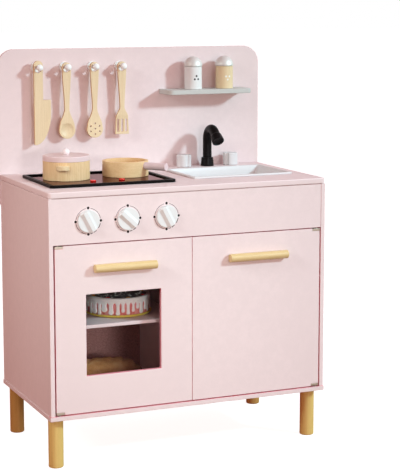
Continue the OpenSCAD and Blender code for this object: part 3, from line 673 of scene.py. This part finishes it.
# each tool's side faces and hole walls carry painted shade
for tool in ("toy_knife", "toy_spoon", "toy_skimmer", "toy_turner"):
    rounded(tool, mats["utensil"], 0.8 * MM, 0.0 if tool == "toy_knife" else 0.012,
            inner=lambda n: abs(n.y) < 0.4, inside="utensil_side_shade")
for knob in ("tap_knob_left", "tap_knob_right"):
    rounded(knob, mats["white"], 0.9 * MM, 0.012)
for knob in ("control_knob_1", "control_knob_2", "control_knob_3"):
    rounded(knob, mats["white_soft"], 0.6 * MM, 0.012, reshape=knob_fit(knob))
for plates in ("hinge_plates_left", "hinge_plates_right"):
    rounded(plates, mats["plate"], 0.5 * MM, 0.0045)

FINISHES = {
    "back_panel": "hardboard", "hob_glass": "hob_glass", "hook_pegs": "white_peg",
    "faucet_base": "black", "faucet_nut": "black",
    "hinge_bushes": "white", "pot_body": "pot", "pot_lid": "paint_turned",
    "pot_lid_knob": "paint_knob", "pan_body": "pan", "pan_handle": "paint_bar",
    "door_handle_left": "handle", "door_handle_right": "handle",
    "shaker_left_body": "white_paint", "shaker_right_body": "shaker_wood",
    "leg_front_left": "leg", "leg_front_right": "leg", "leg_rear_left": "leg_rear",
    "leg_rear_right": "leg_rear",
}
for node in ("leg_bolts", "knob_spindles", "strike_plate_left", "strike_plate_right"):
    FINISHES[node] = "steel"
for node, key in FINISHES.items():
    finish_node(node, mats[key])


# ------------------------------------------------------------------ screws with a cross recess
def islands(node):
    """The vertex positions of each separate solid of a node."""
    bm = bmesh.new()
    bm.from_mesh(NODES[node].data)
    bmesh.ops.remove_doubles(bm, verts=bm.verts, dist=WELD)
    groups = connected(bm.verts, lambda v: [e.other_vert(v) for e in v.link_edges])
    found = [[v.co.copy() for v in group] for group in groups]
    bm.free()
    return sorted(found, key=lambda g: tuple(round(c, 5) for c in sum(g, Vector()) / len(g)))


def cross_outline(half, arm):
    """The 12 corners of a cross recess, anticlockwise from the right arm's lower corner."""
    return [(half, -arm), (half, arm), (arm, arm), (arm, half), (-arm, half), (-arm, arm),
            (-half, arm), (-half, -arm), (-arm, -arm), (-arm, -half), (arm, -half), (arm, -arm)]


HEAD_EASE = 0.3 * MM
SAME_RADIUS = 0.02 * MM
# the cross recess, in shares of the head's radius: half its length, half an arm's width, depth
RECESS_TOP, RECESS_FOOT, RECESS_DEPTH = (0.58, 0.13), (0.42, 0.09), 0.38
FIRST_TURN, NEXT_TURN = 0.35, 0.83       # radians


def screw_into(bm, group, turn):
    """Rebuilds one CAD screw from its points, with a cross recess sunk into its head."""
    low = Vector([min(p[k] for p in group) for k in range(3)])
    high = Vector([max(p[k] for p in group) for k in range(3)])
    size = high - low
    k = max(range(3), key=lambda i: size[i])
    centre = (low + high) / 2

    def width(at):
        across = [Vector([0 if i == k else p[i] - centre[i] for i in range(3)])
                  for p in group if abs(p[k] - at) < 1e-5]
        return max((v.length for v in across), default=0.0)

    head_up = width(high[k]) > width(low[k])
    top, sign = (high[k], 1.0) if head_up else (low[k], -1.0)
    depths = sorted({round(abs(p[k] - top), 5) for p in group})
    profile = [(width(top - sign * d), d) for d in depths]
    a, b = [i for i in range(3) if i != k]
    c, s = math.cos(turn), math.sin(turn)

    def spot(u, v, d):
        p = Vector((0, 0, 0))
        p[k] = top - sign * d
        p[a] = centre[a] + u * c - v * s
        p[b] = centre[b] + u * s + v * c
        return bm.verts.new(p)

    head = max(r for r, _ in profile)
    steps = 32
    stations = [(head - HEAD_EASE, 0.0), (head - HEAD_EASE * 0.3, HEAD_EASE * 0.3)]
    wide = [d for r, d in profile if abs(r - head) < SAME_RADIUS]
    if max(wide) > HEAD_EASE * 1.5:
        stations += [(head, HEAD_EASE), (head, max(wide))]
    stations += [(r, d) for r, d in profile if r < head - SAME_RADIUS and d > HEAD_EASE]
    rings = [[spot(x, y, d) for x, y in circle(r, steps)] for r, d in stations if r > 1e-6]
    join_rings(bm, rings)
    bm.faces.new(rings[-1])
    rim, pit = [[spot(u, v, head * deep) for u, v in cross_outline(head * half, head * arm)]
                for (half, arm), deep in ((RECESS_TOP, 0.0), (RECESS_FOOT, RECESS_DEPTH))]
    join_rings(bm, [rim, pit])
    bm.faces.new(pit)
    pairs = [(r[i], r[(i + 1) % len(r)]) for r in (rings[0], rim) for i in range(len(r))]
    ring_edges = [bm.edges.get(pair) or bm.edges.new(pair) for pair in pairs]
    bmesh.ops.triangle_fill(bm, use_beauty=True, edges=ring_edges)


def screws(node):
    """All screws of a node as one piece, each recess turned a little further than the last."""
    bm = bmesh.new()
    for i, group in enumerate(islands(node)):
        screw_into(bm, group, FIRST_TURN + NEXT_TURN * i)
    own_piece(node + "_finished", from_bmesh(node, bm), mats["steel"], BODY_OF[node], SLOTS[node],
              [node], smooth=False)


for node in ("carcass_screws", "backboard_screws", "door_screws_left", "door_screws_right"):
    screws(node)


# ------------------------------------------------------------------ sink and faucet
def sink():
    """One moulded tray: a flat rim, a soft lip, and a bowl with rounded walls and floor."""
    low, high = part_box("sink_basin")
    centre = (low + high) / 2
    w, d = high.x - low.x, high.y - low.y
    rim, lip, wall, taper = high.z, 7 * MM, 2 * MM, 14 * MM
    under = rim - 4 * MM
    bowl_w, bowl_d = w - 2 * lip, d - 2 * lip
    floor_z = low.z + wall

    def loop(width, depth, z, r):
        return [(centre.x + x, centre.y + y, z) for x, y in rounded_loop(width, depth, r)]

    def bowl(grow, z, r):
        return loop(bowl_w + 2 * grow, bowl_d + 2 * grow, z, r)

    # up the outside of the bowl, from its underside
    outer, inner = 8 * MM, 9 * MM
    loops = [bowl(wall - taper - outer, low.z, 6 * MM)]
    for t in (0.25, 0.6, 1.0):
        ease = outer * (1 - math.sin(math.radians(90 * t)))
        rise = outer * (1 - math.cos(math.radians(90 * t)))
        loops.append(bowl(wall - taper - ease, low.z + rise, outer))
    loops.append(bowl(wall - 0.5 * MM, under, 5 * MM))
    # round the rim: (inset in millimetres, height), then (spread, drop) over the lip
    for inset, z in ((0.8, under), (0.0, under + 0.8 * MM), (0.0, rim - 1.4 * MM),
                     (0.4, rim - 0.45 * MM), (1.4, rim)):
        loops.append(loop(w - 2 * inset * MM, d - 2 * inset * MM, z, 3.4 * MM))
    for spread, drop in ((2.2, 0.0), (0.9, 0.35), (0.2, 1.3), (-0.2, 3.0)):
        loops.append(bowl(spread * MM, rim - drop * MM, 5 * MM))
    # down the inside, then round into the floor
    count = 6
    deep = rim - floor_z
    for i in range(1, count):
        t = i / count
        loops.append(bowl(-taper * t, rim - 3 * MM - (deep - 12 * MM) * t, (5 + 4 * t) * MM))
    for t in (0.0, 0.3, 0.6, 1.0):
        ease = inner * (1 - math.cos(math.radians(90 * t)))
        rise = inner * (1 - math.sin(math.radians(90 * t)))
        loops.append(bowl(-taper - ease, floor_z + rise, inner))
    bmesh_piece("sink_tray", lofted(loops), mats["white_sink"],
                BODY_OF["sink_basin"], "white_plastic", ["sink_basin"])


def spout():
    """The faucet's swivelling spout: column, arch and a flared head with a recessed outlet."""
    low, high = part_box("faucet_spout")
    x = (low.x + high.x) / 2
    r, bend, turn = 9.7 * MM, 23.4 * MM, 133.0
    y = high.y - r
    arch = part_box("worktop")[1].z + 60 * MM
    bends = 28
    stations = [((x, y, low.z), (0, 0, 1), r - 0.6 * MM),
                ((x, y, low.z + 0.5 * MM), (0, 0, 1), r)]
    stations += [((x, y, low.z + (arch - low.z) * t), (0, 0, 1), r) for t in (0.35, 0.7)]
    for i in range(bends + 1):
        t = math.radians(turn * i / bends)
        stations.append(((x, y - bend + bend * math.cos(t), arch + bend * math.sin(t)),
                         (0, -math.sin(t), math.cos(t)), r + 0.5 * MM * (i / bends) ** 2))
    start, along = (Vector(part) for part in stations[-1][:2])
    # distance along the straight end, and radius, in millimetres
    for gone, radius in ((4, 10.3), (7.5, 10.6), (9.2, 10.9), (9.8, 11.3), (10.6, 11.7), (12, 12.0),
                         (14, 12.2), (18, 12.6), (22, 13.05), (25.6, 13.4), (26.6, 13.3), (27, 12.9),
                         (27, 12.0), (26.5, 11.7), (24.2, 11.5), (24, 11.1)):
        stations.append((start + along * gone * MM, along, radius * MM))
    bmesh_piece("faucet_arch", swept(stations), mats["black"],
                BODY_OF["faucet_spout"], "black_plastic", ["faucet_spout"])


def shaker_cap(node):
    """A domed cap over a shadow groove, where it meets the shaker's body."""
    low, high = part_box(node)
    r, band = (high.x - low.x) / 2, low.z + 2 * MM
    profile = [(0, low.z), (r - 2.2 * MM, low.z), (r - 2.2 * MM, low.z + 1.0 * MM),
               (r - 0.5 * MM, low.z + 1.05 * MM), (r - 0.1 * MM, low.z + 1.2 * MM),
               (r, low.z + 1.5 * MM)]
    dome = 24
    turns = [math.radians(90 * i / dome) for i in range(dome)]
    profile += [(r * math.cos(t), band + (high.z - band) * math.sin(t)) for t in turns]
    profile.append((0, high.z))
    own_piece(node + "_finished", from_bmesh(node, lathe(profile, middle(node))), mats["silver"],
              BODY_OF[node], SLOTS[node], [node])


sink()
spout()
shaker_cap("shaker_left_cap")
shaker_cap("shaker_right_cap")


# ------------------------------------------------------------------ printed marks
DOT_RING, DOT_RADIUS = 25.9, 2.6     # millimetres
ARC_RING = 25.3


def dial_marks():
    """Four dots and thin arcs printed round each control knob."""
    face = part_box("control_panel")[0].y
    bm = bmesh.new()
    for knob in ("control_knob_1", "control_knob_2", "control_knob_3"):
        centre = middle(knob)

        def on_panel(u, v, lift, c=centre):
            return (c.x + u * MM, face - lift, c.z + v * MM)

        shapes = [disc(DOT_RING * math.cos(math.radians(t)), DOT_RING * math.sin(math.radians(t)),
                       DOT_RADIUS) for t in (0, 90, 180, 270)]
        # each arc's two ends in degrees, and its width in millimetres
        shapes += [arc_band(ARC_RING, w, a, b) for a, b, w in (
            (10, 79, 0.8), (101, 170, 0.8), (190, 226, 0.9), (230, 260, 0.9),
            (279, 292, 1.2), (296, 312, 1.3), (325, 348, 1.3))]
        for outline in shapes:
            plate(bm, outline, on_panel, -0.05 * MM, 0.12 * MM)
    bmesh_piece("dial_marks", bm, mats["dark_print"], "cabinet", "black_plastic", smooth=False)


def shaker_marks(name, node, body, spots, material, slot):
    """Small dots printed on the front of a shaker, bent to its round side."""
    low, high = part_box(node)
    centre = (low + high) / 2
    radius = (high.x - low.x) / 2

    def on_side(u, v, lift):
        turn = u * MM / radius
        return (centre.x + (radius + lift) * math.sin(turn),
                centre.y - (radius + lift) * math.cos(turn), centre.z + v * MM)

    bm = bmesh.new()
    for u, v, r in spots:
        plate(bm, disc(u, v, r, 20), on_side, -0.08 * MM, 0.10 * MM)
    bmesh_piece(name, bm, material, body, slot, smooth=False)


def trio(side):
    """Three dots, in millimetres, in a triangle that points up (1) or down (-1)."""
    spread, radius = 4.6, 2.2
    return [(spread * math.cos(math.radians(side * 90 + 120 * i)),
             spread * math.sin(math.radians(side * 90 + 120 * i)), radius) for i in range(3)]


dial_marks()
shaker_marks("pepper_marks", "shaker_left_body", "left_shaker",
             trio(1), mats["dark_print"], "black_plastic")
shaker_marks("salt_marks", "shaker_right_body", "right_shaker",
             trio(-1), mats["white_print"], "white_wood")


# ------------------------------------------------------------------ toy food
SPONGE_R = 0.0642
ICING_SWELL = 0.0022       # how far the icing stands out from the sponge
ICING_BAND = 0.0300        # how high up the side the icing ends between its drips
ICING_EDGE = 0.0016        # how far from its edge the icing reaches its full swell
ICING_TUCK = 0.0004        # how deep it lies under the sponge's face where there is none
ICING_STEPS, ICING_ROWS = 640, 40
DRIP_REACH = 0.012


def cake():
    """A dish with an upturned rim, a sponge, icing with drips, a dark top, sweets and sprinkles."""
    low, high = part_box("toy_cake")
    cx, cy, z0, top = (low.x + high.x) / 2, (low.y + high.y) / 2, low.z, high.z
    height = top - z0
    body = BODY_OF["toy_cake"]

    def turned(name, profile, steps, replaces=()):
        bm = lathe([(r, z0 + z) for r, z in profile], (cx, cy), steps)
        bmesh_piece(name, bm, mats[name], body, "cake_toy", replaces)

    dish = [(0, 0), (0.054, 0), (0.0650, 0.0006), (0.0683, 0.0022), (0.0688, 0.0034)]
    dish += bowed(0.0677, 0.0046, 0.0013, -20, 150)
    dish += [(0.0655, 0.0036), (0.0620, 0.0030), (0, 0.0030)]
    turned("cake_dish", dish, 128, ["toy_cake"])
    turned("cake_sponge", [(0, 0.0028), (SPONGE_R - 0.001, 0.0028), (SPONGE_R, 0.0040),
                           (SPONGE_R, 0.0340), (SPONGE_R - 0.001, 0.0350), (0, 0.0350)], 128)

    draw = random.Random(11)
    # each drip: its angle, half its width, and the height of its foot
    drips, at = [], 0.0
    while at < 2 * math.pi - 0.07:
        half = draw.uniform(0.0026, 0.0054)
        drips.append((at, half, draw.choice((0.0052, 0.0062, 0.0050, 0.0110, 0.0165, 0.0056))))
        at += (2 * half + draw.uniform(0.0024, 0.0066)) / SPONGE_R

    def inside(angle, z):
        """How far a point of the side lies within the icing's edge, in metres."""
        deep = z - ICING_BAND
        for spot, half, foot in drips:
            across = (angle - spot + math.pi) % (2 * math.pi) - math.pi
            across *= SPONGE_R
            if abs(across) > DRIP_REACH:
                continue
            swell = half * (1.0 + 0.30 * math.exp(-((z - foot - half) / 0.004) ** 2))
            down = max(0.0, foot + half - z)
            deep = max(deep, swell - math.hypot(across, down))
            neck = max(0.0, abs(across) - half)
            deep = max(deep, z - ICING_BAND + 0.004 - 2.2 * neck)
        return deep

    def icing_lift(angle, z):
        """How far the icing's surface stands out at a point, or lies sunk where there is none."""
        deep = inside(angle, z)
        if deep <= 0:
            return -ICING_TUCK
        return ICING_SWELL * math.sqrt(min(1.0, deep / ICING_EDGE))

    bm = bmesh.new()
    turns = [2 * math.pi * i / ICING_STEPS for i in range(ICING_STEPS)]

    def ring(z, radius):
        spots = [(t, radius(t)) for t in turns]
        return [bm.verts.new((cx + r * math.cos(t), cy + r * math.sin(t), z0 + z))
                for t, r in spots]

    rings = []
    for k in range(ICING_ROWS + 1):
        z = 0.0036 + (height - 0.0020 - 0.0036) * k / ICING_ROWS
        rings.append(ring(z, lambda t: SPONGE_R + icing_lift(t, z)))
    # over the top edge, down its inner side, and back to the bottom behind the sponge's face
    for r, z in ((0.0660, height - 0.0010), (0.0645, height - 0.0003), (0.0625, height),
                 (0.0600, height - 0.0002), (0.0585, height - 0.0012), (0.0580, height - 0.0030),
                 (0.0615, 0.0034)):
        rings.append(ring(z, lambda t: r))
    join_rings(bm, rings + rings[:1])
    bmesh_piece("cake_icing", bm, mats["cake_icing"], body, "cake_toy")
    turned("cake_glaze", [(0, 0.0345), (0.0582, 0.0345), (0.0582, height - 0.0022),
                          (0.0570, height - 0.0013), (0.0550, height - 0.0010),
                          (0.0300, height - 0.0009), (0, height - 0.0008)], 96)

    sprinkle_bm = bmesh.new()
    for _ in range(70):
        r, t = 0.053 * math.sqrt(draw.random()), draw.uniform(0, 6.283)
        turn = draw.uniform(0, 3.14)
        spin = Matrix.Rotation(turn, 4, "Z") @ Matrix.Diagonal((0.0026, 0.0007, 0.0007, 1))
        place = Matrix.Translation((cx + r * math.cos(t), cy + r * math.sin(t),
                                    z0 + height - 0.0007))
        bmesh.ops.create_uvsphere(sprinkle_bm, u_segments=10, v_segments=6, radius=1.0,
                                  matrix=place @ spin)
    bmesh_piece("cake_sprinkles", sprinkle_bm, mats["cake_icing"], body, "cake_toy")
    ring_r = 0.0540
    for name, key, phase in (("cake_sweets_orange", "sweet_orange", 0.0),
                             ("cake_sweets_red", "sweet_red", 45.0)):
        sweets = bmesh.new()
        for i in range(4):
            t = math.radians(-88 + phase + 90 * i)
            shape = Matrix.Translation((cx + ring_r * math.cos(t), cy + ring_r * math.sin(t),
                                        z0 + height - 0.0016)) @ Matrix.Rotation(t, 4, "Z")
            shape = shape @ Matrix.Diagonal((0.0034, 0.0048, 0.0028, 1))
            bmesh.ops.create_uvsphere(sweets, u_segments=24, v_segments=14, radius=1.0,
                                      matrix=shape)
        for vert in sweets.verts:
            vert.co.z = min(vert.co.z, top)
        bmesh_piece(name, sweets, mats[key], body, "cake_toy")


LOAF_STEPS, LOAF_RINGS = 144, 72
LOAF_WAIST = 0.42          # the height of the loaf's widest line, as a share of its height
CUT_PITCH, CUT_SLANT, CUT_WIDTH = 0.0265, 0.55, 0.0042
CRUST_SHRINK, CUT_DEPTH, CRUST_ROUGH = 0.030, 0.040, 0.02      # shares of the loaf's size


def loaf_cut(x, y, half_y):
    """How deep a point of the crust lies in a cut, from 0 outside to 1 at its middle."""
    reach = 1 - min(1.0, abs(y) / (half_y * 0.72)) ** 2
    offs = [x - c * CUT_PITCH - CUT_SLANT * y for c in range(-3, 4)]
    return max(math.exp(-(off / CUT_WIDTH) ** 2) * reach for off in offs)


def loaf():
    """A crusty loaf: a domed body on a flat base, with slanting cuts torn open."""
    low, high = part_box("toy_loaf")
    cx, cy, z0 = (low.x + high.x) / 2, (low.y + high.y) / 2, low.z
    half_x, half_y, height = (high.x - low.x) / 2, (high.y - low.y) / 2, high.z - low.z
    bm = bmesh.new()
    rings = []
    for k in range(1, LOAF_RINGS):
        v = math.pi * k / LOAF_RINGS
        ring = []
        for i in range(LOAF_STEPS):
            u = 2 * math.pi * i / LOAF_STEPS
            px = math.copysign(abs(math.cos(v)) ** 0.82, math.cos(v))
            ring_r = abs(math.sin(v)) ** 0.72
            py, pz = ring_r * math.cos(u), ring_r * math.sin(u)
            x, y = px * half_x, py * half_y
            z = height * LOAF_WAIST + pz * height * (1 - LOAF_WAIST)
            if pz < 0:
                z = height * LOAF_WAIST * (1 - min(1.0, abs(pz) * 1.25) ** 1.6)
            cut = loaf_cut(x, y, half_y) if pz > 0.1 else 0.0
            rough = noise.fractal(Vector((x, y, z)) * 60.0, 1.0, 2.0, 4)
            shrink = 1.0 - CRUST_SHRINK - CUT_DEPTH * cut + CRUST_ROUGH * rough
            p = Vector((x * min(0.995, shrink + 0.01), y * min(0.995, shrink),
                        max(0.0, z * min(0.998, shrink))))
            ring.append(bm.verts.new((cx + p.x, cy + p.y, z0 + p.z)))
        rings.append(ring)
    ends = [bm.verts.new((cx + s * half_x * 0.975, cy, z0 + height * 0.40)) for s in (1, -1)]
    join_rings(bm, rings)
    for i in range(LOAF_STEPS):
        j = (i + 1) % LOAF_STEPS
        bm.faces.new((ends[0], rings[0][j], rings[0][i]))
        bm.faces.new((ends[1], rings[-1][i], rings[-1][j]))
    bmesh_piece("crusty_loaf", bm, mats["crust"], BODY_OF["toy_loaf"], "loaf_toy", ["toy_loaf"])


cake()
loaf()


# ------------------------------------------------------------------ stage, light and camera
SKY_LEFT, SKY_RIGHT = (0.26, 0.05, 0.03), (0.95, 0.75, 0.77)
GROUND_LEFT, GROUND_RIGHT = (0.38, 0.05, 0.03), (0.18, 0.24, 0.12)
KEY_AIM, KEY_WAY, KEY_DISTANCE = (0.0, 0.0, 0.45), (1.0, -1.0, 0.68), 3.6
KEY_SPOT = Vector(KEY_AIM) + Vector(KEY_WAY).normalized() * KEY_DISTANCE
# name, place, target, size (one number for a disc), spread in degrees, power, colour
LAMPS = [
    ("key", KEY_SPOT, KEY_AIM, 0.40, 180, 98.0, (0.565, 0.87, 0.935)),
    ("front", (0.75, -3.0, 0.4), (0.0, 0.0, 0.4), (2.2, 1.2), 180, 6.0, (1.0, 0.45, 0.45)),
    ("left", (-1.7, -0.6, 1.4), (-0.3, -0.1, 0.45), (0.7, 0.7), 46, 1.7, (0.86, 1.0, 0.96)),
    ("low", (-0.1, -3.2, 0.75), (-0.14, 0.0, 0.26), (0.6, 0.4), 28, 0.9, (0.84, 0.96, 0.96)),
]


def area_light(name, spot, target, size, spread, power, colour):
    lamp = bpy.data.lights.new(name, "AREA")
    if isinstance(size, float):
        lamp.shape, lamp.size = "DISK", size
    else:
        lamp.shape = "RECTANGLE"
        lamp.size, lamp.size_y = size
    lamp.spread = math.radians(spread)
    lamp.energy = power
    lamp.color = colour
    thing = bpy.data.objects.new(name, lamp)
    bpy.context.scene.collection.objects.link(thing)
    thing.location = spot
    thing.rotation_euler = (Vector(target) - Vector(spot)).to_track_quat("-Z", "Y").to_euler()


def studio():
    """A dim warm room on the left and a paler one on the right, seen as white by the camera."""
    world = bpy.data.worlds.new("studio")
    bpy.context.scene.world = world
    world.use_nodes = True
    nodes, links = world.node_tree.nodes, world.node_tree.links
    room = nodes["Background"]
    place = nodes.new("ShaderNodeTexCoord").outputs["Generated"]
    split = nodes.new("ShaderNodeSeparateXYZ")
    links.new(place, split.inputs[0])

    def blend(fac, a, b):
        made = nodes.new("ShaderNodeMix")
        made.data_type = "RGBA"
        links.new(fac, made.inputs["Factor"])
        for socket, value in ((made.inputs[6], a), (made.inputs[7], b)):
            if isinstance(value, tuple):
                socket.default_value = (*value, 1)
            else:
                links.new(value, socket)
        return made.outputs[2]

    def ramp(value, reach):
        made = nodes.new("ShaderNodeMapRange")
        made.inputs["From Min"].default_value = -reach
        made.inputs["From Max"].default_value = reach
        links.new(value, made.inputs["Value"])
        return made.outputs["Result"]

    across = ramp(split.outputs["X"], 0.9)
    sky = blend(across, SKY_LEFT, SKY_RIGHT)
    ground = blend(across, GROUND_LEFT, GROUND_RIGHT)
    links.new(blend(ramp(split.outputs["Z"], 0.12), ground, sky), room.inputs["Color"])
    white = nodes.new("ShaderNodeBackground")
    white.inputs["Color"].default_value = (1, 1, 1, 1)
    seen = nodes.new("ShaderNodeLightPath").outputs["Is Camera Ray"]
    pick = nodes.new("ShaderNodeMixShader")
    links.new(seen, pick.inputs["Fac"])
    links.new(room.outputs[0], pick.inputs[1])
    links.new(white.outputs[0], pick.inputs[2])
    links.new(pick.outputs[0], nodes["World Output"].inputs["Surface"])
    for lamp in LAMPS:
        area_light(*lamp)


FLOOR_SIZE = 30.0
FLOOR_GLOW = 0.86          # the floor's own even white, which lights nothing else
FLOOR_DROP = 0.4 * MM


def floor():
    """A plain pale floor, with faint clouds in its tone."""
    f = Finish("studio_floor")
    tone = f.mix(f.span(f.noise(1.3, 3.0), 0.0, 1.0), (0.56, 0.555, 0.555), (0.52, 0.515, 0.515))
    f.shader.inputs["Emission Color"].default_value = (1.0, 1.0, 1.0, 1)
    f.shader.inputs["Emission Strength"].default_value = FLOOR_GLOW
    f.shader.inputs["Specular IOR Level"].default_value = 0.0
    bm = bmesh.new()
    bmesh.ops.create_grid(bm, x_segments=1, y_segments=1, size=FLOOR_SIZE)
    mesh = from_bmesh("floor", bm)
    mesh.materials.append(f.done(tone, 0.8))
    thing = bpy.data.objects.new("floor", mesh)
    thing.location.z = -FLOOR_DROP
    thing.visible_diffuse = False
    thing.visible_glossy = False
    thing.visible_transmission = False
    bpy.context.scene.collection.objects.link(thing)


CAMERA_SPOT = (-1.17424, -2.87311, 0.93471)
CAMERA_YAW = math.radians(23.694)
CAMERA_PITCH = math.radians(7.887)
CAMERA_LENS = 113.823
CAMERA_SHIFT = -0.08


def camera():
    data = bpy.data.cameras.new("camera")
    data.lens = CAMERA_LENS
    data.sensor_width = 36.0
    data.shift_y = CAMERA_SHIFT
    data.clip_end = 100.0
    thing = bpy.data.objects.new("camera", data)
    bpy.context.scene.collection.objects.link(thing)
    thing.location = CAMERA_SPOT
    thing.rotation_euler = (math.pi / 2 - CAMERA_PITCH, 0.0, -CAMERA_YAW)
    bpy.context.scene.camera = thing


studio()
floor()
camera()
bpy.context.scene.view_settings.view_transform = "Standard"
